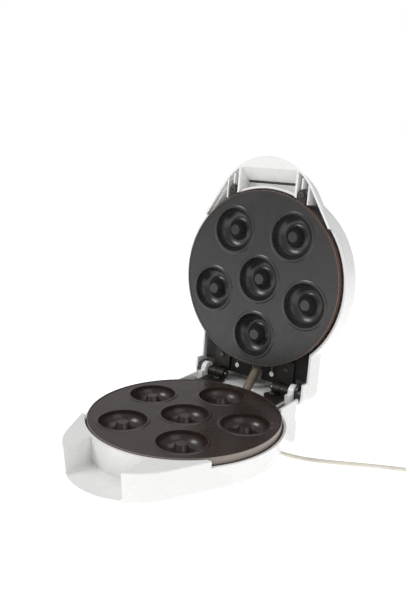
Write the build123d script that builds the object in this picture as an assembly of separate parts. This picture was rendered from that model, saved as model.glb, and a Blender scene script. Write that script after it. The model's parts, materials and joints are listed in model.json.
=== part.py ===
"""Clam-shell donut maker: a base and a lid on a rear hinge, modelled with the lid open.

Every piece is first drawn in the frame of the closed appliance, whose origin is the centre of the
lower plate's top face: +Y is the hinge side, -Y the handles, +Z up. At the end the lid's pieces are
turned about the hinge and everything is moved so that the origin is on the table, below the middle.
"""

import math
import os
from build123d import *

# ---- Driving dimensions, millimetres and degrees ----
PLATE_R = 100.0          # radius of both cooking plates
PLATE_Y = -20.0          # the lower plate's centre in the part's frame
PLATE_HEIGHT = 50.0      # the lower plate's top face above the table
CLOSED_GAP = 1.5         # between the two plates' faces when closed
OPEN_ANGLE = 95.0        # from closed to fully open
HINGE_Y = 119.6          # hinge axis behind the plates' centre
HINGE_Z = 2.2            # hinge axis above the lower plate's face
WALL = 2.5               # moulded shells
CLEAR = 0.2              # gap between assembled faces

# Donut cavities, the same in both plates
PITCH_R = 64.5
CAVITY_R = 24.6
CAVITY_DEPTH = 12.5
PEG_R = 5.7
PEG_DROP = 1.5           # the peg's top below the plate's face
OUTER_CAVITIES = 5
BEAD_R = 28.0            # outside of the raised lip round each cavity
BEAD_H = 0.6

# Plate casting
DECK = 3.0
SKIRT_DEPTH = 7.0
SKIRT_WALL = 3.5
POST_ANGLES = (36, 108, 252, 324)
POST_PITCH_R = 81.0
POST_R = 5.0
SCREW_R = 1.9            # all thread shanks
SCREW_HOLE_R = 2.05

# Housings
LOBE_Y = -69.0           # centre of the handle lobe
LOWER_BOWL_R = 104.5
LOWER_LOBE_R = 73.2
LOWER_DEPTH = 35.0
LOWER_TAPER = 4.0        # lean of the lower handle's wall
LOWER_RIM_DROP = 7.0     # the rear rim below the plate's face
UPPER_BOWL_R = 105.5
UPPER_LOBE_R = 68.5
UPPER_DEPTH = 43.0
UPPER_TAPER = 18.0       # lean of the upper handle's wall
UPPER_RIM_RISE = 5.5     # the rear rim above the upper plate's face
FLANK_INSET = 0.6        # the handles' flanks start this far inside the bowl's circle
STEP_Y = -65.6           # where the rims step down from the handle's level
RECESS_HALF = 36.0       # half width of the finger recesses
LOWER_RECESS_DEPTH = 27.0
UPPER_RECESS_DEPTH = 20.0
BASE_HALF = 70.0         # outer side planes of the base's rear extension
BASE_REAR_Y = 112.0
NECK_HALF = 74.0         # outer side planes of the lid's neck
NECK_REAR_Y = 129.5
NECK_SKIRT = 5.5         # how far the neck reaches below the upper plate's face
LEG_DEPTH = 13.0
LEG_WIDTH = 11.0

# Hinge, one set on each side
KNUCKLE_R = 6.2
PIN_R = 2.5
PIN_CLEAR = 0.06
INNER_KNUCKLE = (34.0, 44.0)
OUTER_KNUCKLE = (44.6, 55.4)
LEAF_X = (34.0, 55.4)
LEAF_THICK = 2.2
EAR_X = (57.0, 63.0)
EAR_SWING_R = 7.0        # the ear's lower rear corner, cleared by the turning lid
BUSH_X = (63.8, 71.2)
PIN_X = (33.0, 69.0)
BUSH_R = 7.0
LOWER_LEAF_Z = -4.0      # underside of the lower leaf, on the base's deck
UPPER_LEAF_Z = 5.8       # plate-side face of the upper leaf, in the lid's frame
BRACKET_SCREW_X, BRACKET_SCREW_Y = 44.0, 98.6          # upper brackets
LOWER_SCREW_X, LOWER_SCREW_Y = 38.0, 108.6             # lower brackets
TAB_X, TAB_Y, TAB_R = 44.2, -98.0, 5.2   # screw tabs at the upper plate's front
KEYHOLE_X, KEYHOLE_Y = 24.0, 107.5       # in the upper reflector's flange

# Feet and lamps
FOOT_X, FOOT_Y, FOOT_R = 32.0, -46.0, 6.5
LAMP_X, LAMP_Y, LAMP_R = (-11.0, 11.0), -84.0, 4.0

# Heating elements and reflectors
HEATER_R = 3.2
HEATER_RING_R = 64.5
HEATER_Z = -18.4
REFLECTOR_Z = -26.0
REFLECTOR_R = 91.0
DISH_RISE = 17.6         # height of the reflectors' conical sides
FLANGE_Z = 8.4           # plate-side face of the upper reflector's rear flange
SHEET = 0.8

# Wires, and the sleeve that carries them across the hinge
LEAD_R = 1.1
SLEEVE_R = 5.3
SLEEVE_X = 4.0

# Mains cord
CORD_D = 6.0
CORD_Z = CORD_D / 2 - PLATE_HEIGHT
GLAND_X = -46.0
GLAND_Z = -21.0
GLAND_LENGTH = 24.0
COIL_CENTRE = (221.5, 175.3)
COIL_R = 33.0            # middle of the turns
COIL_BAND = 12.0         # width of the band of turns
COIL_HEIGHT = 11.0
CLAMP_Y = 100.4
TIE_WIDTH = 5.0
TIE_THICK = 1.2


def cyl(x, y, z0, z1, r):
    """Upright cylinder between two levels."""
    return Pos(x, y, (z0 + z1) / 2) * Cylinder(r, z1 - z0)


def block(x0, x1, y0, y1, z0, z1):
    """Box between opposite corners."""
    return Pos((x0 + x1) / 2, (y0 + y1) / 2, (z0 + z1) / 2) * Box(x1 - x0, y1 - y0, z1 - z0)


def rod(x0, x1, y, z, r):
    """Cylinder along X."""
    return Pos((x0 + x1) / 2, y, z) * Rot(0, 90, 0) * Cylinder(r, abs(x1 - x0))


def spin(points, radii):
    """Solid of revolution about Z from (radius, height) corners, each with its fillet radius."""
    outline = FilletPolyline(*points, radius=radii, close=True)
    return revolve(Plane.XZ * make_face(outline), Axis.Z)


def both_sides(piece):
    """A piece and its mirror image in the YZ plane, fused."""
    return piece + mirror(piece, Plane.YZ)


def pan_screw(x, y, z, length, head_r=3.6, head_h=2.2):
    """Pan-head screw, its head's underside at z and its shank downwards, with a cross recess."""
    head = fillet(cyl(x, y, z, z + head_h, head_r).edges().sort_by(Axis.Z)[-1], 1.0)
    slot = Box(head_r * 1.2, 0.9, 2.0) + Box(0.9, head_r * 1.2, 2.0)
    return head + cyl(x, y, z - length, z, SCREW_R) - Pos(x, y, z + head_h) * slot


def cavity_centres():
    """Middle of each donut cavity: one in the centre and a ring of five, one of them at the hinge."""
    ring = [90 + 360 / OUTER_CAVITIES * i for i in range(OUTER_CAVITIES)]
    outer = [(PITCH_R * math.cos(math.radians(a)), PITCH_R * math.sin(math.radians(a))) for a in ring]
    return [(0.0, 0.0)] + outer


def post_centres():
    """Screw posts, between the outer cavities; angles are counted from the hinge side."""
    angles = [math.radians(90 + a) for a in POST_ANGLES]
    return [(POST_PITCH_R * math.cos(a), POST_PITCH_R * math.sin(a)) for a in angles]


# ---- Cooking plates ----

def cavity_void():
    """Everything above the surface of one ring-shaped cavity and its middle peg."""
    top = 3.0
    channel_r = 15.6
    outline = Line((0, top), (0, -PEG_DROP)) + Line((0, -PEG_DROP), (PEG_R, -PEG_DROP))
    outline += Line((PEG_R, -PEG_DROP), (8.6, -7.5))
    outline += ThreePointArc((8.6, -7.5), (11.0, -11.2), (channel_r, -CAVITY_DEPTH))
    outline += ThreePointArc((channel_r, -CAVITY_DEPTH), (21.6, -8.6), (CAVITY_R, -0.4))
    outline += Line((CAVITY_R, -0.4), (CAVITY_R + 0.6, top)) + Line((CAVITY_R + 0.6, top), (0, top))
    return revolve(Plane.XZ * make_face(outline), Axis.Z)


def cavity_bulge():
    """Outside of one cavity below the plate, with a hollow under the peg."""
    low = -CAVITY_DEPTH - 2.2
    body = spin([(0, -1), (27.2, -1), (26.0, -8.0), (20.5, low), (0, low)], [0, 0, 5, 6, 0])
    hollow = spin([(0, low - 1), (8.0, low - 1), (6.0, -8.5), (0, -5.0)], [0, 0, 1, 0])
    return body - hollow


def plate():
    """Die-cast plate, face up at z = 0: deck, skirt, cavities with raised lips, and screw posts."""
    body = cyl(0, 0, -DECK, 0, PLATE_R) + cyl(0, 0, -SKIRT_DEPTH, 0, PLATE_R)
    body -= cyl(0, 0, -SKIRT_DEPTH - 1, -DECK, PLATE_R - SKIRT_WALL)
    rim = spin([(PLATE_R - 2.2, -1), (PLATE_R, -1), (PLATE_R, 0.4), (PLATE_R - 2.2, 0.4)],
               [0, 0, 0.35, 0.35])
    body += rim
    lip = spin([(CAVITY_R - 2, -1), (BEAD_R, -1), (BEAD_R, 0), (BEAD_R - 1.2, BEAD_H),
                (CAVITY_R - 2, BEAD_H)], [0, 0, 0, 0, 0])
    bulge, void = cavity_bulge(), cavity_void()
    for x, y in cavity_centres():
        body += Pos(x, y, 0) * (bulge + lip)
        body -= Pos(x, y, 0) * void
    for x, y in post_centres():
        body += cyl(x, y, REFLECTOR_Z + SHEET + CLEAR, -DECK + 0.5, POST_R)
        body -= cyl(x, y, REFLECTOR_Z - 1, -DECK - 4, SCREW_HOLE_R)
    return body


def lower_plate():
    """The base's plate."""
    return plate()


def upper_plate():
    """The lid's plate, face down at z = 0 in the lid's frame, with two screw tabs at the handle."""
    body = mirror(plate(), Plane.XY)
    tab = cyl(TAB_X, TAB_Y, 1.0, 4.0, TAB_R)
    tab += block(TAB_X - TAB_R, TAB_X + TAB_R, TAB_Y, TAB_Y + 14, 1, 4)
    tab -= cyl(0, 0, -1, 6, PLATE_R - 1)
    tab -= cyl(TAB_X, TAB_Y, 0, 6, SCREW_HOLE_R)
    return body + both_sides(tab)


# ---- Heating elements, reflectors and what is wired to them ----

def heating_element():
    """Tubular ring under the cavities; its two cold ends turn outwards to the hinge side."""
    gap_half, elbow, tail = 24.0, 9.0, 11.0
    start = math.radians(90 + gap_half)
    radial = Vector(math.cos(start), math.sin(start))
    tangent = Vector(-math.sin(start), math.cos(start))
    inner = radial * HEATER_RING_R
    bend_end = inner + radial * elbow - tangent * elbow
    first = Line(bend_end + radial * tail, bend_end)
    bend_in = RadiusArc(bend_end, inner, elbow)
    mid = Vector(0, -HEATER_RING_R)
    other = Vector(-inner.X, inner.Y)
    ring = ThreePointArc(inner, mid, other)
    path = first + bend_in + ring + mirror(bend_in, Plane.YZ) + mirror(first, Plane.YZ)
    path = Pos(0, 0, HEATER_Z) * Wire(path.edges())
    section = Plane(path @ 0, z_dir=path % 0) * Circle(HEATER_R)
    tube = sweep(section, path=path)
    pin = Vector(bend_end + radial * (tail + 4))
    axis = Plane((pin.X, pin.Y, HEATER_Z), z_dir=(radial.X, radial.Y, 0))
    return tube + both_sides(axis * Cylinder(1.5, 10.0))


def reflector_dish():
    """Thin steel dish behind the heating element, with holes round the screw posts."""
    low, high = REFLECTOR_Z, REFLECTOR_Z + DISH_RISE
    outer = spin([(0, low), (REFLECTOR_R, low), (REFLECTOR_R + 4, high), (REFLECTOR_R + 4 - SHEET, high),
                  (REFLECTOR_R - SHEET, low + SHEET), (0, low + SHEET)], [0, 4, 0, 0, 3.2, 0])
    for x, y in post_centres():
        outer -= cyl(x, y, REFLECTOR_Z - 1, REFLECTOR_Z + 2, SCREW_HOLE_R)
    return outer - both_sides(block(22, 38, 84, 105, HEATER_Z - 4.5, HEATER_Z + 4.5))


def lower_reflector():
    """The base's dish, with a window for the thermostat."""
    return reflector_dish() - cyl(0, 46, REFLECTOR_Z - 1, REFLECTOR_Z + 2, 9.0)


def upper_reflector():
    """The lid's dish and its black rear flange, with two keyhole slots and a notch for the sleeve."""
    dish = mirror(reflector_dish(), Plane.XY)
    flange = block(-68.5, 68.5, 66, 117, FLANGE_Z, FLANGE_Z + SHEET)
    flange -= cyl(0, 0, 0, 20, REFLECTOR_R + 3.6)
    keyhole = cyl(KEYHOLE_X, KEYHOLE_Y, 5, 12, 3.1)
    keyhole += block(KEYHOLE_X - 0.7, KEYHOLE_X + 0.7, KEYHOLE_Y - 10.5, KEYHOLE_Y, 5, 12)
    flange -= both_sides(keyhole + block(56.0, 70.0, 106.5, 118, 5, 12))
    flange -= block(SLEEVE_X - 7.5, SLEEVE_X + 7.5, 97, 118, 5, 12)
    flange -= both_sides(cyl(BRACKET_SCREW_X, BRACKET_SCREW_Y, 5, 12, SCREW_HOLE_R))
    return dish + flange


def thermostat():
    """Disc thermostat on the lower plate's underside, with two flat terminals."""
    low = REFLECTOR_Z - 3.6
    body = cyl(0, 40, low + 2.6, HEATER_Z + 1.0, 7.5) + cyl(0, 40, low + 1, low + 3, 5.8)
    terminals = block(-8.5, -4.0, 39, 41, low + 3.2, low + 4.0) + block(4.0, 8.5, 39, 41, low + 3.2, low + 4.0)
    return Pos(0, 6, 0) * (body + terminals)


def fuse(x, y, z):
    """Thermal fuse: a small metal body with a lead at each end, along X."""
    return rod(x - 5.5, x + 5.5, y, z, 2.0) + rod(x - 9, x + 9, y, z, 0.6)


def terminal_block():
    """Three-way connector inside the rear extension, with a screw in each way."""
    body = block(-30, -6, 96, 106, -21, -10)
    for x in (-26, -18, -10):
        body -= rod(0, 9, 0, 0, 1.0).moved(Location((x, 105.9, -14), (0, 0, 90)))
        body -= cyl(x, 101, -12, -9, 1.8)
    return body


def lead(*points):
    """Insulated wire along straight runs with small bends."""
    path = Line(*points) if len(points) == 2 else FilletPolyline(*points, radius=2.0)
    return sweep(Plane(path @ 0, z_dir=path % 0) * Circle(LEAD_R), path=path)


def lower_leads():
    """Leads from the terminal block to the thermostat and, one of them under the sleeve, the element."""
    return [lead((-31.3, 103, -14), (-31.0, 92, -17)), lead((-18, 94.7, -29.3), (-8, 56, -29.3)),
            lead((-4.8, 101, -18), (-2.5, 101, -26), (31.0, 93.5, -17.5))]


def lead_end():
    """The mains lead's jacketed end inside the base, under the clamp."""
    axis = Plane(gland_point(-WALL - 8.6), z_dir=(0, 1, 0))
    return axis * Cylinder(CORD_D / 2 - 0.1, 12.0)


# ---- Housings ----

def handle_form(bowl_r, lobe_r, z0, z1, taper):
    """Handle lobe whose flanks run into the bowl's sides, narrowing from z0 towards z1."""
    near_r = bowl_r - FLANK_INSET
    lean = math.asin((near_r - lobe_r) / -LOBE_Y)
    near_x, near_y = near_r * math.cos(lean), -near_r * math.sin(lean)
    far_x, far_y = lobe_r * math.cos(lean), LOBE_Y - lobe_r * math.sin(lean)
    outline = ThreePointArc((far_x, far_y), (0, LOBE_Y - lobe_r), (-far_x, far_y))
    outline += Polyline((-far_x, far_y), (-near_x, near_y), (-near_x, 0), (near_x, 0), (near_x, near_y),
                        (far_x, far_y))
    hanging = extrude(make_face(outline), abs(z1 - z0), taper=taper)
    return Pos(0, 0, z0) * (hanging if z1 < z0 else mirror(hanging, Plane.XY))


def outer_edges(form, level):
    """The edges of a handle form at its lowest (0) or highest (-1) level, outside the bowl."""
    return form.edges().group_by(Axis.Z)[level].sort_by(Axis.Y)[:3]


def lower_outer():
    """Outside of the base: bowl, handle lobe and rear extension, as one closed form."""
    bowl = spin([(0, 0), (LOWER_BOWL_R, 0), (LOWER_BOWL_R, -8), (100.6, -30), (97.5, -LOWER_DEPTH),
                 (0, -LOWER_DEPTH)], [0, 0, 20, 4, 5, 0])
    lobe = handle_form(LOWER_BOWL_R, LOWER_LOBE_R, 0, -LOWER_DEPTH, LOWER_TAPER)
    lobe = chamfer(outer_edges(lobe, -1), 0.9)
    lobe = fillet(outer_edges(lobe, 0), 7.0)
    rear = block(-BASE_HALF, BASE_HALF, 40, BASE_REAR_Y, -LOWER_DEPTH + 4, 0)
    rear = fillet(rear.edges().filter_by(Axis.Z).sort_by(Axis.Y)[-2:], 5.0)
    rear = fillet(rear.edges().group_by(Axis.Z)[0].sort_by(Axis.Y)[1:], 3.5)
    return bowl + lobe + rear


def lower_inner():
    """Hollow of the base, a wall's thickness inside."""
    floor = -LOWER_DEPTH + WALL
    r = LOWER_BOWL_R - WALL
    bowl = spin([(0, 5), (r, 5), (r, -8), (98.2, -30), (95.5, floor), (0, floor)], [0, 0, 20, 4, 3, 0])
    lobe = handle_form(LOWER_BOWL_R - WALL, LOWER_LOBE_R - WALL, -WALL, floor, LOWER_TAPER)
    lobe = fillet(outer_edges(lobe, 0), 4.5)
    lobe -= cyl(0, 0, -60, 10, LOWER_BOWL_R)
    tub = block(-RECESS_HALF - WALL, RECESS_HALF + WALL, -150, -60, -LOWER_RECESS_DEPTH - WALL, 10)
    lobe -= tub
    deck_top = LOWER_LEAF_Z
    rear = block(-BASE_HALF + WALL, BASE_HALF - WALL, 60, BASE_REAR_Y - WALL, floor + 4, deck_top - WALL)
    return bowl + lobe + rear


def lower_recess():
    """Finger recess in the front of the handle."""
    void = block(-RECESS_HALF, RECESS_HALF, -160, -80, -LOWER_RECESS_DEPTH, 10)
    void = fillet(void.edges().group_by(Axis.Z)[0].filter_by(Axis.Y), 3.0)
    return void - cyl(0, 0, -60, 20, LOWER_BOWL_R)


def legs():
    """Rear legs with rounded ends, and the two front feet's posts."""
    z_end = -PLATE_HEIGHT + LEG_DEPTH / 2
    y = BASE_REAR_Y - LEG_DEPTH / 2
    leg = block(BASE_HALF - LEG_WIDTH, BASE_HALF, BASE_REAR_Y - LEG_DEPTH, BASE_REAR_Y, z_end, -26)
    leg += rod(BASE_HALF - LEG_WIDTH, BASE_HALF, y, z_end, LEG_DEPTH / 2)
    leg = fillet(leg.edges().filter_by(Axis.Z).sort_by(Axis.Y)[-1], 2.0)
    post = Pos(FOOT_X, FOOT_Y, -41.5) * Cone(8.0, 10.0, 15.0)
    post -= cyl(FOOT_X, FOOT_Y, -52, -47, FOOT_R + CLEAR)
    return both_sides(leg), both_sides(post)


def ear():
    """Upright hinge ear on the base, beside the outer knuckle."""
    x0, x1 = EAR_X
    y, half = 118.4, 8.2
    body = block(x0, x1, y - half, y + half, -3.4, 4.4) + rod(x0, x1, y, 4.4, half)
    body += block(x0, x1, 104.0, BASE_REAR_Y, -7.0, 4.0)
    body -= block(x0, x1, HINGE_Y, 130, -10, HINGE_Z) - rod(x0, x1, HINGE_Y, HINGE_Z, EAR_SWING_R)
    body -= rod(x0 - 1, x1 + 1, HINGE_Y, HINGE_Z, PIN_R)
    return body


def lower_housing():
    """The base's moulding: outer shell, deck at the hinge, ears, legs, bosses and finger recess."""
    body = lower_outer() - lower_inner() - lower_recess()
    rear_top = block(-200, 200, STEP_Y, 200, -LOWER_RIM_DROP, 10)
    side_walls = both_sides(block(BASE_HALF - WALL, BASE_HALF, 76, BASE_REAR_Y, -LOWER_RIM_DROP, -0.2))
    deck = block(-BASE_HALF + 1, BASE_HALF - 1, 60, BASE_REAR_Y, LOWER_LEAF_Z - WALL, LOWER_LEAF_Z)
    deck -= cyl(0, 0, -10, 0, LOWER_BOWL_R - WALL)
    deck -= both_sides(block(56.4, BASE_HALF - WALL, 70, 104.0, -10, 0))
    body = body - rear_top + side_walls + deck
    leg_pair, post_pair = legs()
    body += leg_pair + post_pair + both_sides(ear())
    for x, y in post_centres():
        body += cyl(x, y, -LOWER_DEPTH + 1, REFLECTOR_Z - CLEAR, 6.5)
        body -= cyl(x, y, -LOWER_DEPTH - 1, REFLECTOR_Z + 1, SCREW_HOLE_R)
        body -= cyl(x, y, -LOWER_DEPTH - 1, -LOWER_DEPTH + 5, 4.2)
    for x in (LOWER_SCREW_X, -LOWER_SCREW_X):
        body += cyl(x, LOWER_SCREW_Y, -16, LOWER_LEAF_Z - 0.5, 3.4)
        body -= cyl(x, LOWER_SCREW_Y, -14, LOWER_LEAF_Z + 1, SCREW_HOLE_R)
    body -= block(SLEEVE_X - 6.2, SLEEVE_X + 6.2, 106, 120, -16, 1) + cyl(SLEEVE_X, 106, -16, 1, 6.2)
    for x, y in clamp_centres():
        body += cyl(x, y, -LOWER_DEPTH + 1, GLAND_Z + CORD_D / 2, 4.0)
        body -= cyl(x, y, -LOWER_DEPTH + 4, GLAND_Z + CORD_D, SCREW_HOLE_R)
    gland = Plane(gland_point(-WALL), z_dir=(0, 1, 0)) * Cylinder(5.2, 12)
    return body - gland


def upper_outer():
    """Outside of the lid: bowl, sloping handle lobe and the neck that covers the hinge."""
    top = UPPER_DEPTH
    bowl = spin([(0, 0), (UPPER_BOWL_R, 0), (UPPER_BOWL_R, top), (0, top + 1.5)], [0, 0, 17, 0])
    lobe = handle_form(UPPER_BOWL_R, UPPER_LOBE_R, 0, top - 2, UPPER_TAPER)
    lobe = fillet(outer_edges(lobe, -1), 12.0)
    neck = block(-NECK_HALF, NECK_HALF, 20, NECK_REAR_Y, -NECK_SKIRT, top - 2)
    neck = fillet(neck.edges().filter_by(Axis.Z).sort_by(Axis.Y)[-2:], 7.0)
    neck = fillet(neck.edges().group_by(Axis.Z)[-1].sort_by(Axis.Y)[1:], 15.0)
    neck -= block(-200, 200, 0, 106, -20, 0) + cyl(0, 0, -20, UPPER_RIM_RISE, UPPER_BOWL_R + 1)
    return bowl + lobe + neck


def upper_inner(wall):
    """Form of the lid a wall's thickness inside its outer surface, open towards the plate."""
    top = UPPER_DEPTH - wall
    r = UPPER_BOWL_R - wall
    bowl = spin([(0, -5), (r, -5), (r, top), (0, top + 1.5)], [0, 0, 17 - wall, 0])
    lobe = handle_form(r, UPPER_LOBE_R - wall, 0, top - 2, UPPER_TAPER)
    lobe = fillet(outer_edges(lobe, -1), 12 - wall)
    lobe += handle_form(r, UPPER_LOBE_R - wall, 0.5, -5, 0)
    half = NECK_HALF - wall
    neck = block(-half, half, 20, NECK_REAR_Y - wall, -NECK_SKIRT - 5, top - 2)
    neck = fillet(neck.edges().filter_by(Axis.Z).sort_by(Axis.Y)[-2:], 7 - wall)
    neck = fillet(neck.edges().group_by(Axis.Z)[-1].sort_by(Axis.Y)[1:], 15 - wall)
    return bowl + lobe + neck


def recess_panel():
    """Sloping floor, side walls and front lip of the lid's finger recess, and its wall round the plate."""
    half = RECESS_HALF + WALL
    wall_r = PLATE_R + 2.0 + WALL
    front_y, deep, inside_y = -124.0, UPPER_RECESS_DEPTH, -90.0
    side = Polyline((inside_y, 0), (front_y - 14, 0), (front_y - 14, WALL), (front_y, WALL + 0.5),
                    (-wall_r, deep + WALL), (inside_y, deep + WALL), close=True)
    void = Polyline((inside_y, -1), (front_y + 1, -1), (front_y, 0), (-wall_r - 3, deep), (inside_y, deep),
                    close=True)
    panel = extrude(Plane.YZ * make_face(side), half, both=True)
    panel -= extrude(Plane.YZ * make_face(void), RECESS_HALF, both=True)
    ring = cyl(0, 0, 3.0, deep + WALL, wall_r) & block(-half, half, -150, 0, 0, deep + WALL)
    return panel + ring - cyl(0, 0, -1, 45, PLATE_R + 2.0)


def lid_ribs():
    """Stiffening ribs in the pockets at both sides of the lid's finger recess."""
    return block(43.4, 44.9, -116, -104.5, 0.5, 40) + block(51.6, 53.1, -109.4, -88, 0.7, 40)


def lid_bosses():
    """Bosses under the upper plate's tab, the upper bracket and the flange's keyhole, on the right."""
    behind_flange = FLANGE_Z + SHEET + CLEAR
    bosses = cyl(TAB_X, TAB_Y, 4.0 + CLEAR, 45, 4.0) + cyl(BRACKET_SCREW_X, BRACKET_SCREW_Y, behind_flange, 45, 4.2)
    return bosses + cyl(KEYHOLE_X, KEYHOLE_Y, behind_flange, 45, 4.4)


def upper_housing():
    """The lid's moulding, in the lid's frame: its rim faces down, the dome is on top."""
    shell = upper_outer() - upper_inner(WALL)
    shell -= block(-200, 200, STEP_Y, 106, -20, UPPER_RIM_RISE)
    inside = recess_panel() + both_sides(lid_ribs() - cyl(0, 0, -1, 45, PLATE_R + 2.0) + lid_bosses())
    body = shell + (upper_inner(WALL / 2) & inside)
    holes = cyl(TAB_X, TAB_Y, 0, 20, SCREW_HOLE_R) + cyl(BRACKET_SCREW_X, BRACKET_SCREW_Y, 0, 22, SCREW_HOLE_R)
    body -= both_sides(holes)
    for x, y in post_centres():
        body += cyl(x, y, -REFLECTOR_Z + CLEAR, UPPER_DEPTH - 0.5, 5.0)
        body -= cyl(x, y, 20, UPPER_DEPTH - 4, SCREW_HOLE_R)
    body -= block(SLEEVE_X - 7, SLEEVE_X + 7, NECK_REAR_Y - 10, NECK_REAR_Y + 5, -20, 2.0)
    for x in LAMP_X:
        body -= cyl(x, LAMP_Y, 30, 60, LAMP_R + 0.1)
    return body


def lamp_lens(x):
    """Domed indicator lens with a retaining collar inside the lid's top."""
    top = UPPER_DEPTH - 1.0
    dome = spin([(0, top + 1.8), (LAMP_R, top), (LAMP_R, top - 6), (0, top - 6)], [0, 0.5, 0, 0])
    collar = spin([(0, top - 6), (LAMP_R + 1.4, top - 6), (LAMP_R + 1.4, top - 4.6), (0, top - 4.6)],
                  [0, 0, 0, 0])
    return Pos(x, LAMP_Y, 0) * (dome + collar)


def neon_lamps():
    """Two small glow lamps behind the lenses, each with its leads."""
    top = UPPER_DEPTH - 1.0 - 6.4
    lamps = []
    for x in LAMP_X:
        bulb = spin([(0, top), (2.6, top), (2.6, top - 6), (0, top - 6)], [0, 2.2, 0.6, 0])
        leads = cyl(-1, 0, top - 8, top - 5.5, 0.4) + cyl(1, 0, top - 8, top - 5.5, 0.4)
        lamps.append(Pos(x, LAMP_Y + 2, 0) * (bulb + leads))
    return lamps


def upper_leads():
    """Leads in the lid, from the sleeve's end to the element and forward to the lamps."""
    return [lead((0, 104, 19), (-29, 97.5, 19)), lead((8, 104, 19), (29, 97.5, 19)),
            lead((-6, 84, 30.5), (-6, LAMP_Y + 12, 30.5))]


# ---- Hinge ----

def lower_bracket():
    """Right lower bracket: leaf on the base's deck, round screw tab, inner knuckle."""
    x0, x1 = LEAF_X
    z0, z1 = LOWER_LEAF_Z + 0.05, LOWER_LEAF_Z + LEAF_THICK
    leaf = block(x0, x1, 80, 112.4, z0, z1) + block(*INNER_KNUCKLE, 112, HINGE_Y, z0, z1)
    tab = cyl(LOWER_SCREW_X, LOWER_SCREW_Y, z0, z1, 9.2)
    tab += cyl(LOWER_SCREW_X, LOWER_SCREW_Y, z1 - 0.2, z1 + 0.8, 6.0)
    tab -= block(20, 60, 112.4, 130, -10, 10)
    leaf = leaf + tab - cyl(0, 0, -20, 20, LOWER_BOWL_R - WALL + 0.2)
    leaf -= cyl(LOWER_SCREW_X, LOWER_SCREW_Y, -10, 10, SCREW_HOLE_R)
    body = leaf + rod(*INNER_KNUCKLE, HINGE_Y, HINGE_Z, KNUCKLE_R)
    return body - rod(30, 60, HINGE_Y, HINGE_Z, PIN_R + PIN_CLEAR)


def upper_bracket():
    """Right upper bracket, drawn closed: leaf behind the upper plate's rim and the outer knuckle."""
    x0, x1 = LEAF_X
    z0 = CLOSED_GAP + UPPER_LEAF_Z
    z1 = z0 + LEAF_THICK
    leaf = block(x0 - 1, x1 - 1.5, 88, 112.2, z0, z1) + block(*OUTER_KNUCKLE, 112, HINGE_Y, z0 - 1.2, z1)
    leaf -= cyl(0, 0, -20, 20, PLATE_R + 0.6)
    leaf -= cyl(BRACKET_SCREW_X, BRACKET_SCREW_Y, -10, 20, SCREW_HOLE_R)
    leaf -= rod(0, 44.3, HINGE_Y, HINGE_Z, KNUCKLE_R + 1.2)
    body = leaf + rod(*OUTER_KNUCKLE, HINGE_Y, HINGE_Z, KNUCKLE_R)
    return body - rod(30, 60, HINGE_Y, HINGE_Z, PIN_R + PIN_CLEAR)


def hinge_pin():
    """Right hinge pin: fixed in the ear, a round head at its inner end."""
    x0, x1 = PIN_X
    return rod(x0, x1, HINGE_Y, HINGE_Z, PIN_R) + rod(x0 - 1.6, x0 + 0.4, HINGE_Y, HINGE_Z, 3.8)


def pivot_bush():
    """Right black bush in the lid's neck that turns on the pin's outer end."""
    x0, x1 = BUSH_X
    body = rod(x0, x1, HINGE_Y, HINGE_Z, BUSH_R) + rod(x0, x0 + 3.2, HINGE_Y - 3.0, HINGE_Z + 1.5, 8.2)
    return body - rod(x0 - 1, PIN_X[1] + 0.4, HINGE_Y, HINGE_Z, PIN_R + PIN_CLEAR)


# ---- Wire sleeve, cord and plug ----

def tube_along(points, r):
    """Round tube along straight runs joined by arcs as large as the runs allow."""
    vectors = [Vector(*p) for p in points]
    radii = []
    for before, here, after in zip(vectors, vectors[1:], vectors[2:]):
        half_turn = math.radians((here - before).get_angle(after - here)) / 2
        shorter = min((here - before).length, (after - here).length)
        radii.append(0.45 * shorter / math.tan(half_turn))
    path = FilletPolyline(*vectors, radius=radii)
    solid = sweep(Plane(path @ 0, z_dir=path % 0) * Circle(r), path=path)
    print("tube radius", r, "bends", [round(x) for x in radii], "length", round(path.length),
          "volume ratio", round(solid.volume / (math.pi * r * r * path.length), 4))
    return solid


def wire_sleeve():
    """Sleeve that carries the lid's wires up behind the plates, drawn with the lid open."""
    points = ((SLEEVE_X, 102.8, -22), (SLEEVE_X, 103.6, -12), (SLEEVE_X, 110.5, -3), (SLEEVE_X, 135, 20.5))
    return tube_along(points, SLEEVE_R)


def gland_point(distance):
    """Point on the cord's way out, a distance behind the base's rear wall."""
    return (GLAND_X, BASE_REAR_Y + distance, GLAND_Z)


def strain_relief():
    """Tapered rubber sleeve where the cord leaves the rear wall, with a collar in the wall's hole."""
    axis = Plane(gland_point(0), z_dir=(0, 1, 0))
    taper = axis * Pos(0, 0, GLAND_LENGTH / 2) * Cone(5.4, 3.7, GLAND_LENGTH)
    collar = axis * Pos(0, 0, -WALL / 2 - 0.5) * Cylinder(5.0, WALL + 1.2)
    inside = axis * Pos(0, 0, -WALL - 1.2) * Cylinder(6.6, 2.0)
    return taper + collar + inside


CORD_ROUTE = (
    gland_point(GLAND_LENGTH), (-45.6, 151.0, -23.0), (-43.5, 175.5, -36.5), (-31.5, 194.5, CORD_Z),
    (-8.0, 203.0, CORD_Z), (15.2, 193.7, CORD_Z), (25.7, 172.1, CORD_Z), (24.9, 148.1, CORD_Z),
    (25.5, 123.0, CORD_Z), (29.0, 97.0, CORD_Z), (47.0, 76.8, CORD_Z), (72.0, 72.6, CORD_Z),
    (97.0, 75.7, CORD_Z), (124.5, 88.2, CORD_Z), (152.0, 104.0, CORD_Z), (179.0, 117.7, CORD_Z),
    (199.1, 126.6, CORD_Z), (218.7, 136.6, CORD_Z),
)


def mains_cord():
    """Flat mains lead from the strain relief to the coil, lying on the table."""
    return tube_along(CORD_ROUTE, CORD_D / 2)


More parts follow.
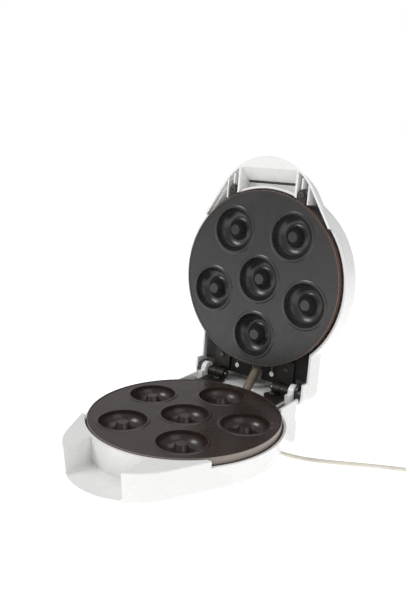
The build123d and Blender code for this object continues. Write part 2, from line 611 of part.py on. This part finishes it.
def cord_coil():
    """Outer shape of the wound-up length."""
    x, y = COIL_CENTRE
    low = -PLATE_HEIGHT
    outer, inner = COIL_R + COIL_BAND / 2, COIL_R - COIL_BAND / 2
    ring = spin([(inner, low), (outer, low), (outer, low + COIL_HEIGHT), (inner, low + COIL_HEIGHT)],
                [3, 3, 4, 4])
    return Pos(x, y, 0) * ring


def cord_tie():
    """Wire tie wrapped round the coil's far side."""
    x, y = COIL_CENTRE
    half = COIL_BAND / 2
    low, high = -PLATE_HEIGHT, COIL_HEIGHT - PLATE_HEIGHT
    band = block(-half - TIE_THICK, half + TIE_THICK, -TIE_WIDTH / 2, TIE_WIDTH / 2, low, high + TIE_THICK)
    return Pos(x + COIL_R, y, 0) * band - cord_coil()


def plug_body():
    """Moulded two-blade plug lying inside the coil, its tail against the turns."""
    x, y = COIL_CENTRE
    body = fillet(block(-12, 12, -20.5, 4.5, 0, 12).edges(), 3.5)
    tail = Plane((0, -23.5, 6), z_dir=(0, -1, 0)) * Cone(4.8, 3.6, 8.0)
    return Pos(x, y, -PLATE_HEIGHT) * (body + tail) - cord_coil()


def plug_blades():
    """The plug's two flat blades."""
    x, y = COIL_CENTRE
    blade = block(-0.75, 0.75, 4.5, 22, 3, 9.3)
    return [Pos(x + dx, y, -PLATE_HEIGHT) * blade for dx in (-6.35, 6.35)]


# ---- Fasteners and feet ----

def lower_plate_screws():
    """Screws up through the base's bosses into the plate's posts."""
    screws = []
    for x, y in post_centres():
        screw = Rot(180, 0, 0) * pan_screw(0, 0, 0, 14.0)
        screws.append(Pos(x, y, -LOWER_DEPTH + 5 - CLEAR) * screw)
    return screws


def upper_plate_screws():
    """Screws through the upper plate's tabs, seen from below."""
    screw = Rot(180, 0, 0) * pan_screw(0, 0, 0, 9.0, head_h=1.8)
    return [Pos(x, TAB_Y, 1.0 - 0.05) * screw for x in (-TAB_X, TAB_X)]


def lower_bracket_screws():
    """Screws through the lower brackets' round tabs."""
    z = LOWER_LEAF_Z + LEAF_THICK + 0.85
    return [pan_screw(x, LOWER_SCREW_Y, z, 9.0) for x in (-LOWER_SCREW_X, LOWER_SCREW_X)]


def upper_bracket_screws():
    """Screws through the upper brackets into the lid."""
    screw = Rot(180, 0, 0) * pan_screw(0, 0, 0, 10.0, head_r=3.0, head_h=1.6)
    return [Pos(x, BRACKET_SCREW_Y, UPPER_LEAF_Z - 0.05) * screw
            for x in (-BRACKET_SCREW_X, BRACKET_SCREW_X)]


def rubber_feet():
    """Round pads in the front posts."""
    foot = cyl(0, 0, -PLATE_HEIGHT, -47.0 - 0.05, FOOT_R)
    foot = fillet(foot.edges().sort_by(Axis.Z)[0], 0.8)
    return [Pos(x, FOOT_Y, 0) * foot for x in (-FOOT_X, FOOT_X)]


def clamp_centres():
    """Middles of the two screws that hold the cord clamp."""
    return [(GLAND_X + dx, CLAMP_Y) for dx in (-9.0, 9.0)]


def cord_clamp():
    """Bar inside the base that presses the cord down between its two screws."""
    top = GLAND_Z + CORD_D / 2 + 2.6
    bar = block(GLAND_X - 13, GLAND_X + 13, CLAMP_Y - 3.5, CLAMP_Y + 3.5, top - 2.4, top)
    for x, y in clamp_centres():
        bar -= cyl(x, y, top - 5, top + 1, SCREW_HOLE_R)
    return bar


def clamp_screws():
    """The cord clamp's two screws."""
    top = GLAND_Z + CORD_D / 2 + 2.6
    return [pan_screw(x, y, top, 9.0) for x, y in clamp_centres()]


# ---- Assembly ----

def in_base(pieces):
    """Pieces drawn in the closed frame, moved to the part's frame."""
    move = Pos(0, PLATE_Y, PLATE_HEIGHT)
    return [move * piece for piece in pieces]


def in_lid(pieces, lid_frame=True):
    """Lid pieces, drawn closed, turned open about the hinge and moved to the part's frame."""
    lift = Pos(0, 0, CLOSED_GAP if lid_frame else 0)
    turn = Pos(0, HINGE_Y, HINGE_Z) * Rot(-OPEN_ANGLE, 0, 0) * Pos(0, -HINGE_Y, -HINGE_Z)
    return in_base([turn * lift * piece for piece in pieces])


def as_list(made):
    """One piece or several, as a list."""
    return list(made) if isinstance(made, (list, tuple)) else [made]


BASE_PIECES = {
    "lower_housing": lower_housing, "lower_plate": lower_plate, "lower_heating_element": heating_element,
    "lower_reflector": lower_reflector, "thermostat": thermostat, "terminal_block": terminal_block,
    "lower_leads": lower_leads, "lead_end": lead_end, "lower_plate_screws": lower_plate_screws,
    "lower_bracket_screws": lower_bracket_screws, "rubber_feet": rubber_feet, "cord_clamp": cord_clamp,
    "clamp_screws": clamp_screws, "wire_sleeve": wire_sleeve, "strain_relief": strain_relief, "mains_cord": mains_cord,
    "cord_coil": cord_coil, "cord_tie": cord_tie, "plug_body": plug_body, "plug_blades": plug_blades,
}
LID_PIECES = {
    "upper_housing": upper_housing, "upper_plate": upper_plate, "upper_reflector": upper_reflector,
    "upper_leads": upper_leads, "upper_plate_screws": upper_plate_screws,
    "upper_bracket_screws": upper_bracket_screws, "neon_lamps": neon_lamps,
}


def main():
    """Makes every piece and writes one STEP file for each node."""
    made = {name: in_base(as_list(make())) for name, make in BASE_PIECES.items()}
    made.update({name: in_lid(as_list(make())) for name, make in LID_PIECES.items()})
    made["thermal_fuse"] = in_base([fuse(-46, 92, -14)])
    made["upper_heating_element"] = in_lid([mirror(heating_element(), Plane.XY)])
    made["upper_thermal_fuse"] = in_lid([fuse(-46, 92, 14)])
    made["power_lamp_lens"] = in_lid([lamp_lens(LAMP_X[0])])
    made["ready_lamp_lens"] = in_lid([lamp_lens(LAMP_X[1])])
    for side, flip in (("right", False), ("left", True)):
        for name, make in (("lower_hinge_bracket", lower_bracket), ("hinge_pin", hinge_pin)):
            piece = mirror(make(), Plane.YZ) if flip else make()
            made[f"{name}_{side}"] = in_base([piece])
        for name, make in (("upper_hinge_bracket", upper_bracket), ("pivot_bush", pivot_bush)):
            piece = mirror(make(), Plane.YZ) if flip else make()
            made[f"{name}_{side}"] = in_lid([piece], lid_frame=False)
    os.makedirs("parts", exist_ok=True)
    for name, pieces in made.items():
        solids = [solid for piece in pieces for solid in piece.solids()]
        shape = solids[0] if len(solids) == 1 else Compound(solids)
        shape.label = name
        export_step(shape, f"parts/{name}.step")


main()
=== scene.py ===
"""Looks of the donut maker: camera, cord, sleeve, plug, materials, floor and studio light.

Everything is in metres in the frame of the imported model: +Z up, the floor at z = 0.
"""

import json
import math

import bmesh
import bpy
from mathutils import Euler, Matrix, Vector


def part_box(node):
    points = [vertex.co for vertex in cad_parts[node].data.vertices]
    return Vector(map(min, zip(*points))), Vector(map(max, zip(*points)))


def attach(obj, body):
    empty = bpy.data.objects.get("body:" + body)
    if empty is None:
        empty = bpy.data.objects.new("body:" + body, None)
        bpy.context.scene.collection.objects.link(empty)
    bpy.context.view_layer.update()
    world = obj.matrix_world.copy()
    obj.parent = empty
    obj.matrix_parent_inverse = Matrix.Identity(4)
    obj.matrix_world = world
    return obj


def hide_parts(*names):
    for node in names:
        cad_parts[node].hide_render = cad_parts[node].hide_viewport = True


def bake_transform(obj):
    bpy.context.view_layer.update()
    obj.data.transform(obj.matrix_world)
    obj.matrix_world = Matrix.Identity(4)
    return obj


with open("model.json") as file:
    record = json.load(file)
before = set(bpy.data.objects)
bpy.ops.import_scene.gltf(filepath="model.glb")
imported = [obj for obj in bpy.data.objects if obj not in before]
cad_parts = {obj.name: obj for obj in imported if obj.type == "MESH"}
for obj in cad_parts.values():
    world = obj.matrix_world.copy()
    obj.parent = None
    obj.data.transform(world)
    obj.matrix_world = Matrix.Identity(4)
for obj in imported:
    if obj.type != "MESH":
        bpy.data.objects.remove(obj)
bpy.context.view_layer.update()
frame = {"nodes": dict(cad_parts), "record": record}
nodes = frame["nodes"]
scene = bpy.context.scene
MM = 0.001
PLATE_Y = -20.0          # the base plate's centre, millimetres

# Each plate's turning axis as a point and a direction, and the radius where its side begins, in metres; the
# side past that radius is coloured as a painted highlight
BASE_PLATE_AXIS = ((0.0, PLATE_Y * MM, 0.050), (0.0, 0.0, 1.0))
LID_PLATE_AXIS = ((0.0, 0.1093, 0.1714), (0.0, 0.99619, -0.08716))
PLATE_RIM = 0.0993
RIM_FADE = 0.0005
TABS_PAST_RIM = 0.0012   # what lies this far outside the rim is the lid plate's screw tabs
TABS_FADE = 0.0002

# ---- Camera ----

CAMERA_PLACE = (0.41237, -0.54319, 0.34028)
CAMERA_TURN = (75.792, -1.391, 37.237)
CAMERA_LENS = 41.70


def make_camera():
    """The camera at the object's front right, a little above it."""
    data = bpy.data.cameras.new("camera")
    data.lens = CAMERA_LENS
    data.sensor_width = 36.0
    camera = bpy.data.objects.new("camera", data)
    camera.location = CAMERA_PLACE
    camera.rotation_euler = Euler([math.radians(a) for a in CAMERA_TURN], "XYZ")
    scene.collection.objects.link(camera)
    scene.camera = camera


make_camera()


# ---- Helpers for meshes ----

def new_piece(name, mesh, body, material):
    """An object made from a mesh, riding on a body if one is given."""
    piece = bpy.data.objects.new(name, mesh)
    scene.collection.objects.link(piece)
    mesh.materials.append(material)
    if body:
        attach(piece, body)
    return piece


def smooth(mesh, angle=35.0):
    """Smooth shading with sharp edges kept above an angle."""
    mesh.shade_smooth()
    mesh.set_sharp_from_angle(angle=math.radians(angle))


def sweep_mesh(name, path, section_at, ups=None):
    """Closed tube along a path; section_at gives the section's (side, up) points at a fraction of it."""
    bm = bmesh.new()
    rings = []
    count = len(path)
    for i, here in enumerate(path):
        ahead = (path[min(i + 1, count - 1)] - path[max(i - 1, 0)]).normalized()
        up = Vector(ups[i]) if ups else Vector((0, 0, 1))
        side = ahead.cross(up).normalized()
        up = side.cross(ahead).normalized()
        section = section_at(i / (count - 1))
        rings.append([bm.verts.new(here + side * a + up * b) for a, b in section])
    size = len(rings[0])
    uv = bm.loops.layers.uv.new("UVMap")
    for i, (lower, upper) in enumerate(zip(rings, rings[1:])):
        for k in range(size):
            n = (k + 1) % size
            face = bm.faces.new((lower[k], lower[n], upper[n], upper[k]))
            corners = ((k, i), (k + 1, i), (k + 1, i + 1), (k, i + 1))
            for loop, (around, along) in zip(face.loops, corners):
                loop[uv].uv = (around / size, along / (count - 1))
    bm.faces.new(list(reversed(rings[0])))
    bm.faces.new(rings[-1])
    bmesh.ops.recalc_face_normals(bm, faces=bm.faces)
    mesh = bpy.data.meshes.new(name)
    bm.to_mesh(mesh)
    bm.free()
    return mesh


def nurbs_line(points, resolution=10):
    """Points along a smooth NURBS line with the given control points."""
    curve = bpy.data.curves.new("route", "CURVE")
    curve.dimensions = "3D"
    spline = curve.splines.new("NURBS")
    spline.points.add(len(points) - 1)
    for point, place in zip(spline.points, points):
        point.co = (*place, 1.0)
    spline.order_u = 3
    spline.use_endpoint_u = True
    spline.resolution_u = resolution
    holder = bpy.data.objects.new("route", curve)
    line = bpy.data.meshes.new_from_object(holder)
    path = [vertex.co.copy() for vertex in line.vertices]
    bpy.data.objects.remove(holder)
    bpy.data.curves.remove(curve)
    bpy.data.meshes.remove(line)
    return path


# ---- Materials ----

class Nodes:
    """A material's node tree with short calls for the nodes used here."""

    def __init__(self, name):
        self.material = bpy.data.materials.new(name)
        self.material.use_nodes = True
        self.tree = self.material.node_tree
        self.shader = self.tree.nodes["Principled BSDF"]
        self.place = self.tree.nodes.new("ShaderNodeTexCoord").outputs["Object"]

    def link(self, a, b):
        self.tree.links.new(a, b)

    def noise(self, scale, detail=3.0, roughness=0.5, stretch=None):
        """Fractal noise at features per metre, optionally stretched along the axes."""
        node = self.tree.nodes.new("ShaderNodeTexNoise")
        node.inputs["Scale"].default_value = scale
        node.inputs["Detail"].default_value = detail
        node.inputs["Roughness"].default_value = roughness
        source = self.place
        if stretch:
            mapping = self.tree.nodes.new("ShaderNodeMapping")
            mapping.inputs["Scale"].default_value = stretch
            self.link(source, mapping.inputs["Vector"])
            source = mapping.outputs["Vector"]
        self.link(source, node.inputs["Vector"])
        return node.outputs["Fac"]

    def ramp(self, fac, stops):
        """Colour ramp with (position, colour) stops."""
        node = self.tree.nodes.new("ShaderNodeValToRGB")
        elements = node.color_ramp.elements
        while len(elements) < len(stops):
            elements.new(0.5)
        for element, (at, colour) in zip(elements, stops):
            element.position = at
            element.color = (*colour, 1.0)
        self.link(fac, node.inputs["Fac"])
        return node.outputs["Color"]

    def span(self, fac, low, high, from_low=0.35, from_high=0.65):
        """Maps the middle of a noise to a range of values."""
        node = self.tree.nodes.new("ShaderNodeMapRange")
        node.inputs["From Min"].default_value = from_low
        node.inputs["From Max"].default_value = from_high
        node.inputs["To Min"].default_value = low
        node.inputs["To Max"].default_value = high
        self.link(fac, node.inputs["Value"])
        return node.outputs["Result"]

    def mix(self, fac, a, b):
        """Colour a where fac is 0, colour b where it is 1."""
        node = self.tree.nodes.new("ShaderNodeMix")
        node.data_type = "RGBA"
        self.link(fac, node.inputs["Factor"])
        for value, socket in ((a, node.inputs[6]), (b, node.inputs[7])):
            if isinstance(value, tuple):
                socket.default_value = (*value, 1.0)
            else:
                self.link(value, socket)
        return node.outputs[2]

    def beyond(self, middle, axis, radius, fade):
        """0 near an axis through a point and 1 past a radius from it."""
        value = self.place
        for operation, other in (("SUBTRACT", middle), ("CROSS_PRODUCT", axis), ("LENGTH", None)):
            node = self.tree.nodes.new("ShaderNodeVectorMath")
            node.operation = operation
            self.link(value, node.inputs[0])
            if other:
                node.inputs[1].default_value = other
            value = node.outputs["Value" if operation == "LENGTH" else "Vector"]
        return self.span(value, 0.0, 1.0, radius, radius + fade)

    def bump(self, height, distance, strength=1.0, under=None):
        """Bump of a height in metres, optionally on top of another bump."""
        node = self.tree.nodes.new("ShaderNodeBump")
        node.inputs["Distance"].default_value = distance
        node.inputs["Strength"].default_value = strength
        self.link(height, node.inputs["Height"])
        if under:
            self.link(under, node.inputs["Normal"])
        return node.outputs["Normal"]

    def finish(self, colour, rough, normal=None, metal=0.0, **uniform):
        """Connects colour, roughness and normal, and sets uniform values on the shader."""
        self.link(colour, self.shader.inputs["Base Color"])
        self.link(rough, self.shader.inputs["Roughness"])
        if normal:
            self.link(normal, self.shader.inputs["Normal"])
        self.shader.inputs["Metallic"].default_value = metal
        for name, value in uniform.items():
            self.shader.inputs[name.replace("_", " ")].default_value = value
        return self.material


def shell_plastic():
    """Glossy injection-moulded white with faint flow marks and the fine ripple of the moulding."""
    m = Nodes("shell_plastic")
    flow = m.noise(9.0, 3.0, 0.55, (1.0, 0.45, 0.7))
    colour = m.ramp(flow, [(0.3, (0.83, 0.828, 0.82)), (0.7, (0.85, 0.848, 0.84))])
    rough = m.span(m.noise(55.0, 4.0), 0.26, 0.31)
    ripple = m.bump(m.noise(90.0, 2.0), 0.00001)
    normal = m.bump(m.noise(2600.0, 2.0), 0.000006, under=ripple)
    return m.finish(colour, rough, normal, Coat_Weight=0.25, Coat_Roughness=0.12)


def nonstick(name, plate, turning_axis, dark, light, side):
    """Dark satin non-stick coating with tiny flecks; past the rim the plate's turned side takes a lighter
    colour, a painted highlight along the plate's edge.
    """
    m = Nodes(name)
    inverse = nodes[plate].matrix_world.inverted()
    centre, along = inverse @ Vector(turning_axis[0]), inverse.to_3x3() @ Vector(turning_axis[1])
    rim = m.beyond(centre, along, PLATE_RIM, RIM_FADE)
    tabs = m.beyond(centre, along, PLATE_RIM + TABS_PAST_RIM, TABS_FADE)
    cloud = m.ramp(m.noise(22.0, 4.0, 0.6), [(0.3, dark), (0.7, light)])
    flecks = m.ramp(m.noise(1500.0, 2.0, 0.4), [(0.60, (0.0, 0.0, 0.0)), (0.70, (1.0, 1.0, 1.0))])
    fleck = tuple(1.8 * value for value in light)
    top = m.mix(flecks, cloud, fleck)
    # Painted highlight: the side past the rim gets the lighter side colour, and the screw tabs beyond it
    # keep the top's colour
    colour = m.mix(tabs, m.mix(rim, top, side), top)
    rough = m.span(m.noise(70.0, 5.0, 0.6), 0.25, 0.34)
    orange = m.bump(m.noise(900.0, 3.0), 0.00003)
    normal = m.bump(m.noise(3500.0, 2.0), 0.00001, under=orange)
    return m.finish(colour, rough, normal, Coat_Weight=0.2, Coat_Roughness=0.2)


def painted_steel(name, dark, light, low, high):
    """Dark finish on pressed steel, rubbed lighter in random patches."""
    m = Nodes(name)
    rub = m.noise(240.0, 5.0, 0.65)
    colour = m.ramp(rub, [(0.35, dark), (0.62, dark), (0.78, light)])
    rough = m.span(m.noise(120.0, 4.0), low, high)
    normal = m.bump(m.noise(1100.0, 3.0), 0.00004)
    return m.finish(colour, rough, normal, metal=0.35)


def bare_metal(name, dark, light, low, high, grain=(1.0, 1.0, 12.0)):
    """Bright metal with fine drawn or turned grain and faint tarnish."""
    m = Nodes(name)
    colour = m.ramp(m.noise(150.0, 5.0, 0.6), [(0.3, dark), (0.7, light)])
    rough = m.span(m.noise(420.0, 3.0, 0.5, grain), low, high)
    normal = m.bump(m.noise(900.0, 2.0, 0.5, grain), 0.00002)
    return m.finish(colour, rough, normal, metal=1.0)


def moulded(name, dark, light, low, high, **uniform):
    """Moulded plastic or rubber with a fine spark texture."""
    m = Nodes(name)
    colour = m.ramp(m.noise(60.0, 4.0, 0.6), [(0.3, dark), (0.7, light)])
    rough = m.span(m.noise(200.0, 3.0), low, high)
    normal = m.bump(m.noise(2200.0, 3.0), 0.00003)
    return m.finish(colour, rough, normal, **uniform)


def lens_plastic(name, dark, light):
    """Translucent coloured lens."""
    m = Nodes(name)
    colour = m.ramp(m.noise(300.0, 2.0), [(0.3, dark), (0.7, light)])
    rough = m.span(m.noise(600.0, 2.0), 0.08, 0.16)
    return m.finish(colour, rough, Transmission_Weight=0.5, IOR=1.49)


def glass_fibre():
    """Varnished woven glass-fibre sleeve: crossing strands, khaki with lighter high points."""
    m = Nodes("glass_fibre_sleeve")
    uv = m.tree.nodes.new("ShaderNodeUVMap").outputs["UV"]
    weave = []
    for lean in (1.0, -1.0):
        wave = m.tree.nodes.new("ShaderNodeTexWave")
        wave.bands_direction = "DIAGONAL"
        wave.inputs["Scale"].default_value = 7.0
        wave.inputs["Distortion"].default_value = 0.4
        mapping = m.tree.nodes.new("ShaderNodeMapping")
        mapping.inputs["Scale"].default_value = (2.0 * lean, 1.0, 1.0)
        m.link(uv, mapping.inputs["Vector"])
        m.link(mapping.outputs["Vector"], wave.inputs["Vector"])
        weave.append(wave.outputs["Fac"])
    both = m.tree.nodes.new("ShaderNodeMath")
    both.operation = "MAXIMUM"
    m.link(weave[0], both.inputs[0])
    m.link(weave[1], both.inputs[1])
    height = both.outputs["Value"]
    stain = m.ramp(m.noise(130.0, 4.0), [(0.3, (0.095, 0.07, 0.045)), (0.7, (0.16, 0.125, 0.085))])
    colour = m.mix(m.span(height, 0.0, 0.45, 0.6, 1.0), stain, (0.30, 0.25, 0.18))
    rough = m.span(m.noise(500.0, 3.0), 0.32, 0.48)
    return m.finish(colour, rough, m.bump(height, 0.0002), metal=0.3, Coat_Weight=0.6, Coat_Roughness=0.18)


WHITE = shell_plastic()
# One coating on both plates: its own tone is the base's brown-black, and the lid's cooler tint is painted
# reflection. Each call's last colour is the painted highlight on the plate's side.
BASE_COATING = nonstick("base_nonstick", "lower_plate", BASE_PLATE_AXIS,
                        (0.020, 0.0125, 0.010), (0.034, 0.021, 0.017), (0.28, 0.235, 0.205))
LID_COATING = nonstick("lid_nonstick", "upper_plate", LID_PLATE_AXIS,
                       (0.017, 0.0155, 0.0152), (0.027, 0.0248, 0.0242), (0.14, 0.085, 0.065))
DARK_STEEL = painted_steel("dark_steel", (0.020, 0.016, 0.014), (0.075, 0.062, 0.054), 0.34, 0.5)
BLACK_SHEET = painted_steel("black_sheet", (0.008, 0.0075, 0.007), (0.03, 0.028, 0.026), 0.42, 0.6)
PIN_STEEL = bare_metal("pin_steel", (0.11, 0.10, 0.095), (0.2, 0.19, 0.18), 0.25, 0.4, (12.0, 1.0, 1.0))
SCREW_STEEL = bare_metal("screw_steel", (0.075, 0.070, 0.065), (0.16, 0.15, 0.14), 0.3, 0.45)
ZINC = bare_metal("zinc_plate", (0.45, 0.46, 0.47), (0.62, 0.62, 0.61), 0.28, 0.42)
SHEET = bare_metal("reflector_sheet", (0.55, 0.55, 0.55), (0.68, 0.68, 0.67), 0.3, 0.45)
SHEATH = bare_metal("element_sheath", (0.16, 0.13, 0.11), (0.28, 0.26, 0.24), 0.38, 0.55)
BRASS = bare_metal("blade_brass", (0.68, 0.55, 0.28), (0.80, 0.69, 0.42), 0.22, 0.34)
BLACK_PLASTIC = moulded("black_plastic", (0.012, 0.012, 0.014), (0.022, 0.022, 0.025), 0.3, 0.42)
CREAM = moulded("cream_jacket", (0.74, 0.70, 0.61), (0.80, 0.765, 0.69), 0.38, 0.5)
LEADS = moulded("lead_insulation", (0.62, 0.61, 0.57), (0.72, 0.71, 0.67), 0.42, 0.55)
FIBRE = moulded("clamp_fibre", (0.55, 0.53, 0.46), (0.66, 0.64, 0.57), 0.5, 0.65)
RUBBER = moulded("foot_rubber", (0.025, 0.025, 0.026), (0.05, 0.05, 0.05), 0.65, 0.8)
TIE = moulded("tie_black", (0.012, 0.012, 0.012), (0.03, 0.03, 0.03), 0.45, 0.6)
RED = lens_plastic("red_lens", (0.42, 0.012, 0.008), (0.55, 0.02, 0.012))
GREEN = lens_plastic("green_lens", (0.012, 0.30, 0.05), (0.02, 0.42, 0.08))
BULB = lens_plastic("lamp_glass", (0.75, 0.68, 0.6), (0.85, 0.8, 0.74))
SLEEVE = glass_fibre()

NODE_MATERIALS = {
    "white_shell": WHITE, "dark_steel": DARK_STEEL, "black_sheet": BLACK_SHEET,
    "pin_steel": PIN_STEEL, "screw_steel": SCREW_STEEL, "reflector_sheet": SHEET, "element_sheath": SHEATH,
    "blade_brass": BRASS, "black_plastic": BLACK_PLASTIC, "cord_jacket": CREAM, "cord_rubber": CREAM,
    "plug_plastic": CREAM, "lead_insulation": LEADS, "clamp_fibre": FIBRE, "foot_rubber": RUBBER,
    "tie_black": TIE, "red_lens": RED, "green_lens": GREEN, "lamp_glass": BULB,
    "glass_fibre_sleeve": SLEEVE, "thermostat_metal": ZINC, "fuse_metal": ZINC,
}


NODE_PLATES = {"lower_plate": BASE_COATING, "upper_plate": LID_COATING}


def dress_nodes():
    """Gives every CAD node its material, by the record's slots."""
    for part in frame["record"]["subparts"]:
        node = nodes[part["node"]]
        node.data.materials.clear()
        material = NODE_PLATES.get(part["node"]) or NODE_MATERIALS[part["material_slot"]]
        node.data.materials.append(material)


dress_nodes()


# ---- Mains cord: flat twin flex ----

CORD_WIDTH = 6.0 * MM
CORD_THICK = 3.4 * MM
LIE = 1.75               # middle of the flat cord above the floor, millimetres
ROUTE = (
    (-46.0, 136.0, 29.0), (-45.6, 151.0, 27.0), (-43.5, 175.5, 13.5), (-31.5, 194.5, LIE),
    (-8.0, 203.0, LIE), (15.2, 193.7, LIE), (25.7, 172.1, LIE), (24.9, 148.1, LIE),
    (25.5, 123.0, LIE), (29.0, 97.0, LIE), (47.0, 76.8, LIE), (72.0, 72.6, LIE),
    (97.0, 75.7, LIE), (124.5, 88.2, LIE), (152.0, 104.0, LIE), (179.0, 117.7, LIE),
    (199.1, 126.6, LIE), (218.7, 136.6, LIE),
)
TURNS = 2.75
POINTS_PER_TURN = 14
INWARD_FROM = 0.75       # turns after which the cord moves to the inner place
UP_FROM = 1.75           # turns after which it climbs on top
CLIMB_TURNS = 0.35


def coil_points():
    """The coil's turns: two side by side on the floor, then one on top, ending beside the plug."""
    low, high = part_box("cord_coil")
    middle = (Vector(low) + Vector(high)) / 2
    outer = (high[0] - low[0]) / 2 - CORD_WIDTH / 2
    inner = outer - CORD_WIDTH
    start = math.radians(-63.0)
    count = round(TURNS * POINTS_PER_TURN)
    points = []
    for i in range(count + 1):
        turn = i / POINTS_PER_TURN
        settle = min(max(turn - INWARD_FROM, 0.0) * 4.0, 1.0)
        radius = outer - (outer - inner) * settle if turn < UP_FROM else inner
        climb = min(max((turn - UP_FROM) / CLIMB_TURNS, 0.0), 1.0)
        radius += climb * CORD_WIDTH / 2
        height = LIE * MM + climb * CORD_THICK
        angle = start + math.tau * turn
        points.append((middle.x + radius * math.cos(angle), middle.y + radius * math.sin(angle), height))
    return points


def flat_flex(_):
    """Section of twin flex: two round conductors' jackets with a groove between."""
    half, top = CORD_WIDTH / 2, CORD_THICK / 2
    lobe = half - top
    section = []
    for sign, first in ((1, -90), (-1, 90)):
        for k in range(9):
            a = math.radians(first + k * 180 / 8)
            section.append((sign * lobe + top * math.cos(a), top * math.sin(a)))
    groove = 0.35 * MM
    upper = (0.0, top - groove)
    lower = (0.0, -top + groove)
    return section[:9] + [upper] + section[9:] + [lower]


def mains_cord():
    """The whole cord as one smooth tube, with the coil's turns at its end."""
    route = [(x * MM, (y + PLATE_Y) * MM, z * MM) for x, y, z in ROUTE]
    path = nurbs_line(route + coil_points())
    mesh = sweep_mesh("twin_flex", path, flat_flex)
    smooth(mesh, 50)
    cord = new_piece("twin_flex", mesh, "base", CREAM)
    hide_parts("mains_cord", "cord_coil")
    strain_relief()


# ---- Strain relief, coil tie and wire sleeve ----

def ring_section(radius, count=24):
    """Round section."""
    return [(radius * math.cos(math.tau * k / count), radius * math.sin(math.tau * k / count))
            for k in range(count)]


def strain_relief():
    """Ribbed tapered relief at the cord's exit, with its collar in the wall."""
    low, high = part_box("strain_relief")
    axis_x, axis_z = (low[0] + high[0]) / 2, (low[2] + high[2]) / 2
    collar, root, tip, ribs = 6.5 * MM, 5.3 * MM, 3.75 * MM, 7
    wall_out = (112.0 + PLATE_Y) * MM
    stations = [(low[1], collar - 0.4 * MM), (low[1] + 0.4 * MM, collar), (low[1] + 1.6 * MM, collar),
                (low[1] + 2.0 * MM, 5.0 * MM), (wall_out, 5.0 * MM), (wall_out + 0.2 * MM, root)]
    pitch = (high[1] - wall_out) / (ribs + 0.5)
    for i in range(ribs):
        start = wall_out + pitch * (i + 0.3)
        radius = root + (tip - root) * i / ribs
        stations += [(start, radius), (start + pitch * 0.15, radius - 0.7 * MM),
                     (start + pitch * 0.45, radius - 0.8 * MM), (start + pitch * 0.6, radius - 0.1 * MM)]
    stations += [(high[1] - 0.4 * MM, tip), (high[1], tip - 0.35 * MM)]
    path = [Vector((axis_x, y, axis_z)) for y, _ in stations]
    radii = [r for _, r in stations]
    mesh = sweep_mesh("ribbed_relief", path, lambda f: ring_section(radii[round(f * (len(radii) - 1))]))
    smooth(mesh, 40)
    relief = new_piece("ribbed_relief", mesh, "base", CREAM)
    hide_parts("strain_relief")
    return relief


SLEEVE_X = 4.0
SLEEVE_RADIUS = 5.25


def wire_sleeve():
    """Woven sleeve that carries the lid's wires across the hinge."""
    x = SLEEVE_X
    route = [(x, 102.8, 28.0), (x, 103.6, 38.0), (x, 110.5, 47.0), (x, 122.0, 58.3), (x, 135.0, 70.5)]
    path = nurbs_line([(px * MM, (py + PLATE_Y) * MM, pz * MM) for px, py, pz in route], 14)
    radius = SLEEVE_RADIUS * MM

    def section(f):
        """Nearly round, with soft lengthwise folds."""
        points = []
        for k in range(48):
            a = math.tau * k / 48
            fold = 1.0 - 0.035 * (1 - math.cos(5 * a + 1.5 * f)) / 2
            points.append((radius * fold * math.cos(a), radius * fold * math.sin(a)))
        return points

    mesh = sweep_mesh("woven_sleeve", path, section)
    smooth(mesh, 60)
    sleeve = new_piece("woven_sleeve", mesh, None, SLEEVE)
    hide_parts("wire_sleeve")
    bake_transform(sleeve)


mains_cord()
wire_sleeve()


# ---- Floor and studio ----

def make_floor():
    """A large pale floor."""
    bm = bmesh.new()
    bmesh.ops.create_grid(bm, x_segments=8, y_segments=8, size=40.0)
    mesh = bpy.data.meshes.new("floor")
    bm.to_mesh(mesh)
    bm.free()
    floor = bpy.data.objects.new("floor", mesh)
    scene.collection.objects.link(floor)
    m = Nodes("floor_paper")
    tone = m.ramp(m.noise(3.0, 2.0), [(0.3, (0.93, 0.93, 0.93)), (0.7, (0.95, 0.95, 0.95))])
    paper = m.finish(tone, m.span(m.noise(40.0), 0.7, 0.8), Specular_IOR_Level=0.1,
                     Emission_Color=(1.0, 1.0, 1.0, 1.0), Emission_Strength=0.62)
    mesh.materials.append(paper)


def soft_light(name, place, aim, size, power):
    """A square area light that points at a place."""
    data = bpy.data.lights.new(name, "AREA")
    data.size = size
    data.energy = power
    light = bpy.data.objects.new(name, data)
    light.location = place
    light.rotation_euler = (Vector(aim) - Vector(place)).to_track_quat("-Z", "Y").to_euler()
    scene.collection.objects.link(light)


def make_studio():
    """White surroundings, dimmer than they look, and three large soft lights."""
    world = bpy.data.worlds.new("studio")
    world.use_nodes = True
    tree = world.node_tree
    background = tree.nodes["Background"]
    background.inputs["Color"].default_value = (1.0, 1.0, 1.0, 1.0)
    rays = tree.nodes.new("ShaderNodeLightPath")
    strength = tree.nodes.new("ShaderNodeMapRange")
    strength.inputs["To Min"].default_value = 0.42
    strength.inputs["To Max"].default_value = 1.0
    tree.links.new(rays.outputs["Is Camera Ray"], strength.inputs["Value"])
    tree.links.new(strength.outputs["Result"], background.inputs["Strength"])
    scene.world = world
    middle = (0.0, 0.0, 0.12)
    soft_light("key", (-0.9, -1.3, 1.5), middle, 0.7, 14.0)
    soft_light("fill", (1.5, -0.6, 0.9), middle, 1.2, 4.0)
    soft_light("top", (0.0, 0.4, 1.9), middle, 1.6, 8.0)


make_floor()
make_studio()
scene.view_settings.view_transform = "Standard"
